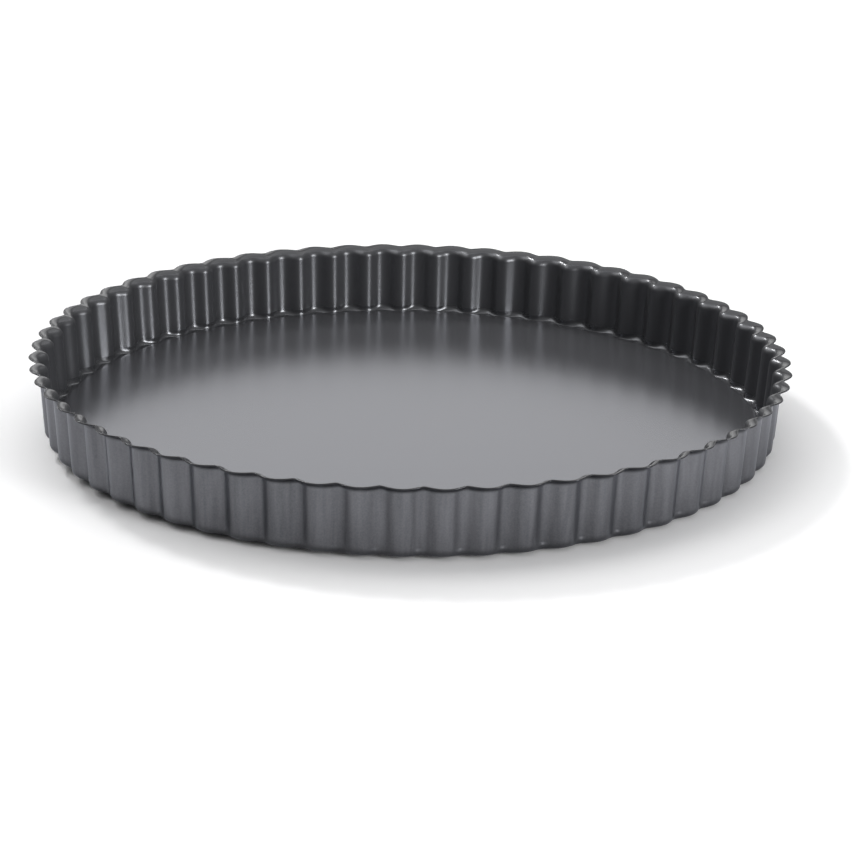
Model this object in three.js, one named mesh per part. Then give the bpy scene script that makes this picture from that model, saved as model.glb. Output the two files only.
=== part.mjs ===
// A loose-bottom tart pan: a fluted ring with a flared lip and an inward ledge, and the base disc that lies
// on the ledge. Millimetres, +Z up, origin on the table under the middle of the pan, a flute's crest on +X.

import * as THREE from 'three';

// The ring, measured on its outside at the crests of the flutes.
const RIM_RADIUS = 150; // outer edge of the lip
const HEIGHT = 29; // from the table to the lip's edge
const RING_SHEET = 0.6; // steel and coat
const FOOT_RADIUS = 144.3; // the wall's line, carried down to the table
const DRAFT = THREE.MathUtils.degToRad(4.1); // how far the wall leans out
const FOOT_BEND = 3.4; // outside radius of the bend between ledge and wall
const LIP_BEND = 2.2; // underside radius of the bend between wall and lip
const LIP_RISE = THREE.MathUtils.degToRad(22); // how far the lip climbs outwards
const LEDGE_RADIUS = 131; // edge of the round hole that the ledge leaves
const BEND_STEPS = 2; // flat strips in each bend

// The flutes: wide round crests outwards, narrower ridges inwards. Their depth is measured from a crest's
// line in to a ridge's, and it grows in the bend at the foot.
const FLUTES = 60;
const LEDGE_FLUTE_DEPTH = 1;
const WALL_FLUTE_DEPTH = 3.1;
const LIP_FLUTE_DEPTH = 2.8;
const RIDGE_ROUNDING = 0.4; // 0 would bring the ridges to a point
const STRIPS_PER_FLUTE = 6;

// The base disc.
const DISC_SHEET = 0.8;
const DISC_CLEARANCE = 0.3; // between its edge and the nearest bend of a ridge
const LEDGE_GAP = 0.1; // under the disc, where the coats meet
const DISC_STRIPS = 120;

// The middle of the bend at the foot, on a crest: it touches the table's plane and the wall's line.
const footBendCentre = new THREE.Vector2(
  FOOT_RADIUS + FOOT_BEND * Math.tan(DRAFT) - FOOT_BEND / Math.cos(DRAFT),
  FOOT_BEND,
);

// The middle of the bend at the lip, on a crest: it touches the wall's line and the underside of the lip,
// which climbs to the edge.
const lipReach = RIM_RADIUS - FOOT_RADIUS - LIP_BEND / Math.cos(DRAFT);
const lipEdgeHeight = HEIGHT - RING_SHEET * Math.cos(LIP_RISE);
const lipBendHeight =
  (lipEdgeHeight * Math.cos(LIP_RISE) - lipReach * Math.sin(LIP_RISE) - LIP_BEND) *
  (Math.cos(DRAFT) / Math.cos(DRAFT + LIP_RISE));
const lipBendCentre = new THREE.Vector2(
  FOOT_RADIUS + lipBendHeight * Math.tan(DRAFT) + LIP_BEND / Math.cos(DRAFT),
  lipBendHeight,
);

// Points along an arc of a profile: x is the radius on a crest, y the height and z the depth of the flutes.
function bend(centre, radius, fromAngle, toAngle, fromDepth, toDepth) {
  const points = [];
  for (let step = 0; step <= BEND_STEPS; step += 1) {
    const share = step / BEND_STEPS;
    const angle = THREE.MathUtils.lerp(fromAngle, toAngle, share);
    const x = centre.x + radius * Math.cos(angle);
    const y = centre.y + radius * Math.sin(angle);
    points.push(new THREE.Vector3(x, y, THREE.MathUtils.lerp(fromDepth, toDepth, share)));
  }
  return points;
}

// One skin of the ring's sheet from the round edge of the ledge to the lip. The outside skin has an inset
// of 0, the inside one of the sheet's thickness. The foot bends round the pan's inside and the lip round
// its outside.
function skin(inset) {
  const lipEnd = Math.PI / 2 + LIP_RISE;
  const edgeRadius = RIM_RADIUS - inset * Math.sin(LIP_RISE);
  return [
    new THREE.Vector3(LEDGE_RADIUS, inset, 0),
    ...bend(footBendCentre, FOOT_BEND - inset, -Math.PI / 2, -DRAFT, LEDGE_FLUTE_DEPTH, WALL_FLUTE_DEPTH),
    ...bend(lipBendCentre, LIP_BEND + inset, Math.PI - DRAFT, lipEnd, WALL_FLUTE_DEPTH, LIP_FLUTE_DEPTH),
    new THREE.Vector3(edgeRadius, lipEdgeHeight + inset * Math.cos(LIP_RISE), LIP_FLUTE_DEPTH),
  ];
}

// How far a flute has turned in: 0 on a crest, 1 on a ridge. The turn is counted in flutes.
function turnedIn(turn) {
  const swing = Math.hypot(Math.cos(Math.PI * turn), RIDGE_ROUNDING);
  const crestSwing = Math.hypot(1, RIDGE_ROUNDING);
  return (crestSwing - swing) / (crestSwing - RIDGE_ROUNDING);
}

// The ring is turned from its profile, and then each point moves in with the flutes.
function flutedRingGeometry() {
  const outline = [...skin(0), ...skin(RING_SHEET).reverse()];
  outline.push(outline[0].clone());
  const geometry = new THREE.LatheGeometry(outline, FLUTES * STRIPS_PER_FLUTE);
  geometry.rotateX(Math.PI / 2);

  const position = geometry.getAttribute('position');
  for (let index = 0; index < position.count; index += 1) {
    const strip = Math.floor(index / outline.length) % (FLUTES * STRIPS_PER_FLUTE);
    const { x: crestRadius, y: height, z: depth } = outline[index % outline.length];
    const turn = strip / STRIPS_PER_FLUTE;
    const angle = (2 * Math.PI * turn) / FLUTES;
    const radius = crestRadius - depth * turnedIn(turn);
    position.setXYZ(index, radius * Math.cos(angle), radius * Math.sin(angle), height);
  }
  geometry.computeVertexNormals();
  return geometry;
}

function baseDiscGeometry() {
  const radius = footBendCentre.x - LEDGE_FLUTE_DEPTH - DISC_CLEARANCE;
  const underside = RING_SHEET + LEDGE_GAP;
  const outline = [
    new THREE.Vector2(0, underside),
    new THREE.Vector2(radius, underside),
    new THREE.Vector2(radius, underside + DISC_SHEET),
    new THREE.Vector2(0, underside + DISC_SHEET),
  ];
  return new THREE.LatheGeometry(outline, DISC_STRIPS).rotateX(Math.PI / 2);
}

function subPart(name, geometry, color, roughness) {
  const material = new THREE.MeshStandardMaterial({ color, roughness, metalness: 0.3 });
  const mesh = new THREE.Mesh(geometry, material);
  mesh.name = name;
  return mesh;
}

const pan = new THREE.Group();
pan.add(subPart('fluted_ring', flutedRingGeometry(), 0x5c5d61, 0.4));
pan.add(subPart('base_disc', baseDiscGeometry(), 0x6b6c70, 0.3));

export default pan;
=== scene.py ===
import math

import bmesh
import bpy
from mathutils import Matrix, Vector


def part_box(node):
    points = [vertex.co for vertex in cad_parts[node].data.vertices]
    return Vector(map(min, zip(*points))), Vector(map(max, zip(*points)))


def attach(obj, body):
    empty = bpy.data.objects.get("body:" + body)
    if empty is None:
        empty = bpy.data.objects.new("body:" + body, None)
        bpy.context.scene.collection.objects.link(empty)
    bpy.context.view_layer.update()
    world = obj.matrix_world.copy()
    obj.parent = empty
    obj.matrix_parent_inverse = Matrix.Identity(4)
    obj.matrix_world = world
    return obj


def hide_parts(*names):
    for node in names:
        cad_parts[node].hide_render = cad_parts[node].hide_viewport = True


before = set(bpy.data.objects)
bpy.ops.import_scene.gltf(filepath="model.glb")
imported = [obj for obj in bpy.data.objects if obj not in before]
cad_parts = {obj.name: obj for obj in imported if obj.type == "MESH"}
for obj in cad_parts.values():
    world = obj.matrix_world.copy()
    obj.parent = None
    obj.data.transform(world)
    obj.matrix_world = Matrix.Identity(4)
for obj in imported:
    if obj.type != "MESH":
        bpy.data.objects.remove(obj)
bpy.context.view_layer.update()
ringLow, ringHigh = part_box("fluted_ring")
discLow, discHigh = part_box("base_disc")
mm = 0.001
sharpEdge = math.radians(60)  # edges sharper than this are rounded
print("frame loaded:", ", ".join(sorted(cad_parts)))


class Wire:
    # a socket in a node tree; sums and products of wires become Math nodes
    def __init__(self, tree, socket=None):
        self.tree = tree
        self.socket = socket

    def node(self, kind, settings=None, sockets=None, output=0):
        made = self.tree.nodes.new(kind)
        for name, value in (settings or {}).items():
            if name == "stops":
                self.setStops(made.color_ramp.elements, value)
            else:
                setattr(made, name, value)
        for name, value in (sockets or {}).items():
            if isinstance(value, Wire):
                self.tree.links.new(value.socket, made.inputs[name])
            else:
                made.inputs[name].default_value = value
        return Wire(self.tree, made.outputs[output] if made.outputs else None)

    def setStops(self, elements, stops):
        while len(elements) < len(stops):
            elements.new(1)
        for element, (position, colour) in zip(elements, stops):
            element.position = position
            element.color = (*colour, 1)

    def maths(self, operation, first, second):
        return self.node("ShaderNodeMath", {"operation": operation}, {0: first, 1: second})

    def __add__(self, other):
        return self.maths("ADD", self, other)

    def __sub__(self, other):
        return self.maths("SUBTRACT", self, other)

    def __rsub__(self, other):
        return self.maths("SUBTRACT", other, self)

    def __mul__(self, other):
        return self.maths("MULTIPLY", self, other)

    __radd__ = __add__
    __rmul__ = __mul__


def freshTree(owner):
    owner.use_nodes = True
    owner.node_tree.nodes.clear()
    return Wire(owner.node_tree)


def rampOf(wires, value, ends):
    return wires.node("ShaderNodeMapRange", {"interpolation_type": "SMOOTHSTEP"}, {
        "Value": value,
        "From Min": ends[0],
        "From Max": ends[1],
    })


# The coats: dark paint with a fine grain, faint clouds and upright marks from the drawing of the sheet.
# The outside of the ring has a thin metallic coat.
coatMake = {
    "noiseDetail": 3,
    "marksDetail": 2,
    "marksStretch": 0.05,  # long up the wall
    "cloudsShare": 0.6,  # of the tone that the marks leave, the rest is grain
}
innerCoat = {
    "name": "innerCoat",
    "colours": [(0.25, (0.030, 0.0305, 0.033)), (0.75, (0.042, 0.0425, 0.046))],
    "grainPerMetre": 2600,
    "cloudsPerMetre": 14,
    "marksPerMetre": 500,
    "marksShare": 0.15,
    "roughness": (0.32, 0.38),
    "grainHeight": 0.002 * mm,
    "ior": 1.9,
    "sheenTint": (0.93, 0.95, 1, 1),
    "metallic": 0,
    "paintedShade": [],
    "burnished": (7 * mm, 2 * mm),  # the bend at the foot is smoother
    "burnish": 0.09,
    "lip": (27 * mm, 28 * mm),  # the coat on the lip is smoother and mirrors less
    "lipIor": 1.35,
    "lipRoughness": 0.18,
}
outerCoat = {
    "name": "outerCoat",
    "colours": [(0.34, (0.108, 0.110, 0.120)), (0.66, (0.192, 0.195, 0.211))],
    "grainPerMetre": 1500,
    "cloudsPerMetre": 14,
    "marksPerMetre": 420,
    "marksShare": 0.35,
    "roughness": (0.30, 0.40),
    "grainHeight": 0.012 * mm,
    "ior": 1.6,
    "sheenTint": (0.93, 0.95, 1, 1),
    "metallic": 0.85,
    "paintedShade": [  # painted shade in the inner coat's dark, under the lip and at the foot: from this height to that, and how much
        (25.2 * mm, 27.6 * mm, 1),
        (4.4 * mm, 0.8 * mm, 0.6),
    ],
}
discCoat = {
    "name": "discCoat",
    "colours": [(0.25, (0.049, 0.0495, 0.0525)), (0.75, (0.060, 0.0605, 0.0645))],
    "grainPerMetre": 2600,
    "cloudsPerMetre": 9,
    "marksPerMetre": 500,
    "marksShare": 0,
    "roughness": (0.20, 0.25),
    "grainHeight": 0.002 * mm,
    "ior": 1.8,
    "sheenTint": (0.82, 0.85, 1, 1),
    "metallic": 0,
    "paintedShade": [],
}


def noiseOf(wires, vector, scale, detail):
    return wires.node("ShaderNodeTexNoise", {}, {"Vector": vector, "Scale": scale, "Detail": detail})


def makeCoat(look):
    material = bpy.data.materials.new(look["name"])
    wires = freshTree(material)
    place = wires.node("ShaderNodeTexCoord", output="Object")
    above = wires.node("ShaderNodeSeparateXYZ", {}, {0: place}, output="Z")
    drawn = wires.node("ShaderNodeMapping", {}, {"Vector": place, "Scale": (1, 1, coatMake["marksStretch"])})
    grain = noiseOf(wires, place, look["grainPerMetre"], coatMake["noiseDetail"])
    clouds = noiseOf(wires, place, look["cloudsPerMetre"], coatMake["noiseDetail"])
    marks = noiseOf(wires, drawn, look["marksPerMetre"], coatMake["marksDetail"])
    marksShare = look["marksShare"]
    cloudsShare = coatMake["cloudsShare"] * (1 - marksShare)
    grainShare = 1 - marksShare - cloudsShare
    tone = clouds * cloudsShare + grain * grainShare + marks * marksShare
    relief = grain * (1 - marksShare) + marks * marksShare
    bump = wires.node("ShaderNodeBump", {}, {
        "Strength": 1,
        "Distance": look["grainHeight"],
        "Height": relief,
    })
    low, high = look["roughness"]
    roughness = tone * (high - low) + low
    if "burnished" in look:
        roughness = roughness - rampOf(wires, above, look["burnished"]) * look["burnish"]
    colour = wires.node("ShaderNodeValToRGB", {"stops": look["colours"]}, {"Fac": tone})
    # painted shade: the inner coat's dark is mixed into the colour under the lip and at the foot, where
    # shade falls
    for start, end, strength in look["paintedShade"]:
        colour = wires.node("ShaderNodeMix", {"data_type": "RGBA"}, {
            "Factor": rampOf(wires, above, (start, end)) * strength,
            6: colour,
            7: (*innerCoat["colours"][0][1], 1),
        }, output=2)
    paint = {
        "Base Color": colour,
        "Roughness": roughness,
        "IOR": look["ior"],
        "Metallic": look["metallic"],
        "Specular Tint": look["sheenTint"],
        "Normal": bump,
    }
    shader = wires.node("ShaderNodeBsdfPrincipled", {}, paint)
    if "lip" in look:
        lipPaint = {**paint, "IOR": look["lipIor"], "Roughness": look["lipRoughness"]}
        lipShader = wires.node("ShaderNodeBsdfPrincipled", {}, lipPaint)
        onLip = rampOf(wires, above, look["lip"])
        shader = wires.node("ShaderNodeMixShader", {}, {0: onLip, 1: shader, 2: lipShader})
    wires.node("ShaderNodeOutputMaterial", {}, {"Surface": shader})
    return material


def startPiece(name):
    piece = bpy.context.active_object
    piece.name = name
    piece.data.name = name
    bpy.ops.object.mode_set(mode="EDIT")
    return piece


def applyModifier(piece, kind, **settings):
    modifier = piece.modifiers.new(kind, kind)
    for name, value in settings.items():
        setattr(modifier, name, value)
    bpy.ops.object.modifier_apply(modifier=modifier.name)


def selectVerts(piece, wanted):
    mesh = bmesh.from_edit_mesh(piece.data)
    bpy.ops.mesh.select_all(action="DESELECT")
    for vert in mesh.verts:
        vert.select = wanted(vert)
    mesh.select_flush_mode()
    bmesh.update_edit_mesh(piece.data)


def scaleAround(across):
    bpy.ops.transform.resize(value=(across, across, 1), center_override=(0, 0, 0))


def roundEdges(piece, width, segments):
    applyModifier(piece, "BEVEL", width=width, segments=segments, limit_method="ANGLE",
                  angle_limit=sharpEdge, harden_normals=True)


# The fluted ring, one sheet: ledge, bend, wall, bend and lip. Radii are on the crests of the flutes.
# A wave is the depth of the flutes, the rounding of their ridges and the steepness of their flanks.
ringMake = {
    "flutes": 60,
    "columnsPerFlute": 24,
    "noWave": (0, 0.6, 0),
    "ledgeWave": (1 * mm, 0.6, 0),
    "wallWave": (3.1 * mm, 0.6, 0.4),
    "lipWave": (2.8 * mm, 0.13, 0),  # narrow notches
    "sheet": 0.6 * mm,
    "ledgeRadius": 131 * mm,
    "footRadius": 144.3 * mm,  # the wall's line, carried down to the table
    "draft": math.radians(4.1),
    "footBend": 3.4 * mm,
    "lipBend": 2.2 * mm,
    "lipRise": math.radians(22),  # the lip climbs outwards to its edge
    "lipFlat": 2.7 * mm,  # from its bend to its edge, along the underside
    "slack": 0.02 * mm,  # keeps the lip's edge inside the frame's box
    "bendSteps": 8,
    "flatEnd": 0.3 * mm,  # a row this far from each bend keeps the flats flat
    "edgeRound": 0.18 * mm,
    "edgeSegments": 2,
}


def mixWaves(first, second, share):
    return tuple(a + (b - a) * share for a, b in zip(first, second))


def ringSection():
    # rows from the ledge's hole to the lip's edge: radius on a crest, height and wave
    tilt = ringMake["draft"]
    foot = ringMake["footBend"]
    lip = ringMake["lipBend"]
    flat = ringMake["flatEnd"]
    ledgeWave, wallWave, lipWave = (ringMake[name] for name in ("ledgeWave", "wallWave", "lipWave"))
    footCentre = ringMake["footRadius"] + foot * math.tan(tilt) - foot / math.cos(tilt)
    rise = ringMake["lipRise"]
    lipFlat = ringMake["lipFlat"]
    lipClimb = (lip + ringMake["sheet"]) * math.cos(rise) + lipFlat * math.sin(rise)
    lipCentreHeight = ringHigh.z - ringMake["slack"] - lipClimb
    lipCentre = ringMake["footRadius"] + lipCentreHeight * math.tan(tilt) + lip / math.cos(tilt)
    shares = [step / ringMake["bendSteps"] for step in range(ringMake["bendSteps"] + 1)]

    rows = [(ringMake["ledgeRadius"], 0, ringMake["noWave"]), (footCentre - flat, 0, ledgeWave)]
    for share in shares:
        angle = (math.pi / 2 - tilt) * share - math.pi / 2
        wave = mixWaves(ledgeWave, wallWave, share)
        rows.append((footCentre + foot * math.cos(angle), foot + foot * math.sin(angle), wave))
    wallFoot = rows[-1]
    wallTop = (lipCentre - lip * math.cos(tilt), lipCentreHeight + lip * math.sin(tilt))
    for end, step in ((wallFoot, flat), (wallTop, -flat)):
        rows.append((end[0] + step * math.sin(tilt), end[1] + step * math.cos(tilt), wallWave))
    for share in shares:
        angle = math.pi - tilt - (math.pi / 2 - tilt - rise) * share
        wave = mixWaves(wallWave, lipWave, share)
        rows.append((lipCentre + lip * math.cos(angle), lipCentreHeight + lip * math.sin(angle), wave))
    bendEnd = rows[-1]
    for length in (flat, lipFlat):
        rows.append((bendEnd[0] + length * math.cos(rise), bendEnd[1] + length * math.sin(rise), lipWave))
    return rows


def turnedIn(turn, wave):
    # how far a flute lies inside its crest's radius, from a crest at 0 to a ridge at 0.5
    depth, rounding, steepness = wave
    crest = math.hypot(1, rounding)
    inward = (crest - math.hypot(math.cos(math.pi * turn), rounding)) / (crest - rounding)
    steep = inward * inward * (3 - 2 * inward)
    return depth * (inward + (steep - inward) * steepness)


def pressFlutes(ring, crestRadius, inset):
    # the open loop is selected: each column of a flute moves in by its own inset
    columns = ringMake["columnsPerFlute"]
    loop = {vert.index for vert in bmesh.from_edit_mesh(ring.data).verts if vert.select}

    def columnOf(vert):
        turn = math.atan2(vert.co.y, vert.co.x) / (2 * math.pi) * ringMake["flutes"]
        return round(turn * columns) % columns

    for column in range(1, columns // 2 + 1):
        pair = (column, columns - column)
        selectVerts(ring, lambda vert: vert.index in loop and columnOf(vert) in pair)
        scaleAround(1 - inset(column / columns) / crestRadius)
    selectVerts(ring, lambda vert: vert.index in loop)


def buildRing():
    rows = ringSection()
    bpy.ops.object.select_all(action="DESELECT")
    bpy.ops.mesh.primitive_circle_add(
        vertices=ringMake["flutes"] * ringMake["columnsPerFlute"], radius=rows[0][0])
    ring = startPiece("flutedRing")
    bpy.ops.mesh.select_all(action="SELECT")
    for last, row in zip(rows, rows[1:]):
        radius, height, wave = row
        bpy.ops.mesh.extrude_region()
        scaleAround(radius / last[0])
        bpy.ops.transform.translate(value=(0, 0, height - last[1]))
        if wave != last[2]:
            pressFlutes(ring, radius, lambda turn: turnedIn(turn, wave) - turnedIn(turn, last[2]))
    bpy.ops.mesh.select_all(action="SELECT")
    bpy.ops.mesh.normals_make_consistent(inside=False)
    bpy.ops.object.mode_set(mode="OBJECT")
    if ring.data.polygons[0].normal.z > 0:  # the ledge's underside looks down
        ring.data.flip_normals()
    ring.data.materials.append(makeCoat(outerCoat))
    ring.data.materials.append(makeCoat(innerCoat))  # for the faces that the thickness adds
    applyModifier(ring, "SOLIDIFY", thickness=ringMake["sheet"], offset=-1, use_even_offset=True,
                  material_offset=1, material_offset_rim=1)
    roundEdges(ring, ringMake["edgeRound"], ringMake["edgeSegments"])
    bpy.ops.object.shade_smooth()
    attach(ring, "ring")
    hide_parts("fluted_ring")
    print("ring:", len(ring.data.polygons), "faces")


# The base disc, a flat sheet with its cut edge rounded by the coat.
discMake = {
    "columns": 320,
    "edgeRound": 0.25 * mm,
    "edgeSegments": 3,
    "smoothAngle": math.radians(40),
    "landWidth": 2 * mm,  # a row this far from the edge keeps the top flat
    "rings": 6,
}


def buildDisc():
    radius = discHigh.x
    thickness = discHigh.z - discLow.z
    bpy.ops.object.select_all(action="DESELECT")
    bpy.ops.mesh.primitive_circle_add(vertices=discMake["columns"], radius=radius, fill_type="NGON",
                                      location=(0, 0, 0))
    disc = startPiece("baseDisc")
    bpy.ops.mesh.select_all(action="SELECT")
    bpy.ops.transform.translate(value=(0, 0, discLow.z))
    bpy.ops.mesh.extrude_region()
    bpy.ops.transform.translate(value=(0, 0, thickness))
    bpy.ops.mesh.inset(thickness=discMake["landWidth"])
    for _ in range(discMake["rings"]):
        bpy.ops.mesh.inset(thickness=(radius - discMake["landWidth"]) / (discMake["rings"] + 1))
    bpy.ops.mesh.select_all(action="SELECT")
    bpy.ops.mesh.normals_make_consistent(inside=False)
    bpy.ops.object.mode_set(mode="OBJECT")
    roundEdges(disc, discMake["edgeRound"], discMake["edgeSegments"])
    bpy.ops.object.shade_smooth_by_angle(angle=discMake["smoothAngle"])
    disc.data.materials.append(makeCoat(discCoat))
    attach(disc, "base")
    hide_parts("base_disc")
    print("disc:", len(disc.data.polygons), "faces")


# The table: white paint, brighter to the camera alone so that it reads as plain white and keeps its shadow.
tableMake = {
    "size": 2.2,
    "drop": 1.4 * mm,  # the pan stands this far above it
    "tilt": math.radians(0.45),  # the gap under the pan is wider on the left
    "colour": (0.86, 0.86, 0.865, 1),
    "seenColour": (0.97, 0.97, 0.975, 1),
}


def buildTable():
    bpy.ops.object.select_all(action="DESELECT")
    bpy.ops.mesh.primitive_plane_add(size=tableMake["size"], location=(0, 0, -tableMake["drop"]),
                                     rotation=(0, -tableMake["tilt"], 0))
    table = bpy.context.active_object
    table.name = "table"
    material = bpy.data.materials.new("tableWhite")
    wires = freshTree(material)
    seen = wires.node("ShaderNodeLightPath", output="Is Camera Ray")
    colour = wires.node("ShaderNodeMix", {"data_type": "RGBA"}, {
        "Factor": seen,
        6: tableMake["colour"],
        7: tableMake["seenColour"],
    }, output=2)
    paint = wires.node("ShaderNodeBsdfDiffuse", {}, {"Color": colour})
    wires.node("ShaderNodeOutputMaterial", {}, {"Surface": paint})
    table.data.materials.append(material)
    print("table: white")


# The room: a white backdrop of limited width and height behind the pan, a dim ceiling, dark elsewhere. The
# camera alone sees plain white. Of the lamps, the back one gives the hot dots and the side one the stripes.
roomMake = {
    "backdrop": 1.5,
    "dark": 0.12,
    "ceiling": 0.4,
    "ceilingEdge": (0.35, 0.7),
    "edges": {  # share of an axis in a direction, from dark to white
        "X": [(-0.36, -0.22), (0.30, 0.13)],
        "Y": [(0.0, 0.3)],
        "Z": [(0.05, 0.16), (0.58, 0.44)],
    },
}
lamps = {
    "topLamp": {"azimuth": 105, "elevation": 66, "distance": 1.6, "size": (2.4, 1.4), "radiance": 1.35},
    "backLamp": {"azimuth": 128, "elevation": 42, "distance": 2, "size": (0.28, 0.28), "radiance": 56},
    "sideLamp": {"azimuth": 317, "elevation": 16, "distance": 1.6, "size": (0.5, 0.65), "radiance": 17},
    "leftLamp": {"azimuth": 188, "elevation": 48, "distance": 1.6, "size": (1.2, 1.0), "radiance": 1},
}


def buildRoom():
    world = bpy.data.worlds.new("studio")
    bpy.context.scene.world = world
    wires = freshTree(world)
    direction = wires.node("ShaderNodeTexCoord", output="Generated")
    light = roomMake["backdrop"] - roomMake["dark"]
    for axis, edges in roomMake["edges"].items():
        share = wires.node("ShaderNodeSeparateXYZ", {}, {0: direction}, output=axis)
        for ends in edges:
            light = rampOf(wires, share, ends) * light
    above = wires.node("ShaderNodeSeparateXYZ", {}, {0: direction}, output="Z")
    light = light + rampOf(wires, above, roomMake["ceilingEdge"]) * (roomMake["ceiling"] - roomMake["dark"])
    light = light + roomMake["dark"]
    seen = wires.node("ShaderNodeLightPath", output="Is Camera Ray")
    strength = seen + (1 - seen) * light
    shader = wires.node("ShaderNodeBackground", {}, {"Color": (1, 1, 1, 1), "Strength": strength})
    wires.node("ShaderNodeOutputWorld", {}, {"Surface": shader})
    print("room: backdrop", roomMake["backdrop"], "dark", roomMake["dark"])


def addLamp(name, make):
    azimuth = math.radians(make["azimuth"])
    elevation = math.radians(make["elevation"])
    towards = Vector((math.cos(azimuth) * math.cos(elevation), math.sin(azimuth) * math.cos(elevation),
                      math.sin(elevation)))
    light = bpy.data.lights.new(name, "AREA")
    light.shape = "RECTANGLE"
    light.size, light.size_y = make["size"]
    light.energy = make["radiance"] * math.pi * light.size * light.size_y
    lamp = bpy.data.objects.new(name, light)
    bpy.context.scene.collection.objects.link(lamp)
    lamp.location = towards * make["distance"]
    lamp.rotation_euler = towards.to_track_quat("Z", "Y").to_euler()


# The camera stands where the photograph's did, found from the ellipse of the rim and its flutes.
cameraMake = {
    "pictureSide": 858,  # pixels
    "focalLength": 3122.6,  # pixels
    "distance": 1.2334,  # from the middle of the rim
    "elevation": 18.579,
    "azimuth": 0.892,  # turns the pan's flutes to the photograph's
    "yaw": 0.358,  # to the right of the rim's middle
    "pitch": -1.396,  # below it
    "roll": 1.095,
}


def rotation(degrees, axis):
    return Matrix.Rotation(math.radians(degrees), 4, axis)


def addCamera():
    data = bpy.data.cameras.new("camera")
    camera = bpy.data.objects.new("camera", data)
    bpy.context.scene.collection.objects.link(camera)
    bpy.context.scene.camera = camera
    data.lens = data.sensor_width * cameraMake["focalLength"] / cameraMake["pictureSide"]
    facing = rotation(cameraMake["azimuth"], "Z") @ rotation(90 - cameraMake["elevation"], "X")
    rimMiddle = Matrix.Translation((0, 0, ringHigh.z))
    away = Matrix.Translation((0, 0, cameraMake["distance"]))
    aim = rotation(-cameraMake["yaw"], "Y") @ rotation(cameraMake["pitch"], "X")
    camera.matrix_world = rimMiddle @ facing @ away @ aim @ rotation(cameraMake["roll"], "Z")
    print("camera: lens", round(data.lens, 1), "mm")


buildRing()
buildDisc()
buildTable()
buildRoom()
for lampName, lampMake in lamps.items():
    addLamp(lampName, lampMake)
print("lamps:", ", ".join(lamps))
addCamera()
bpy.context.scene.view_settings.view_transform = "Standard"
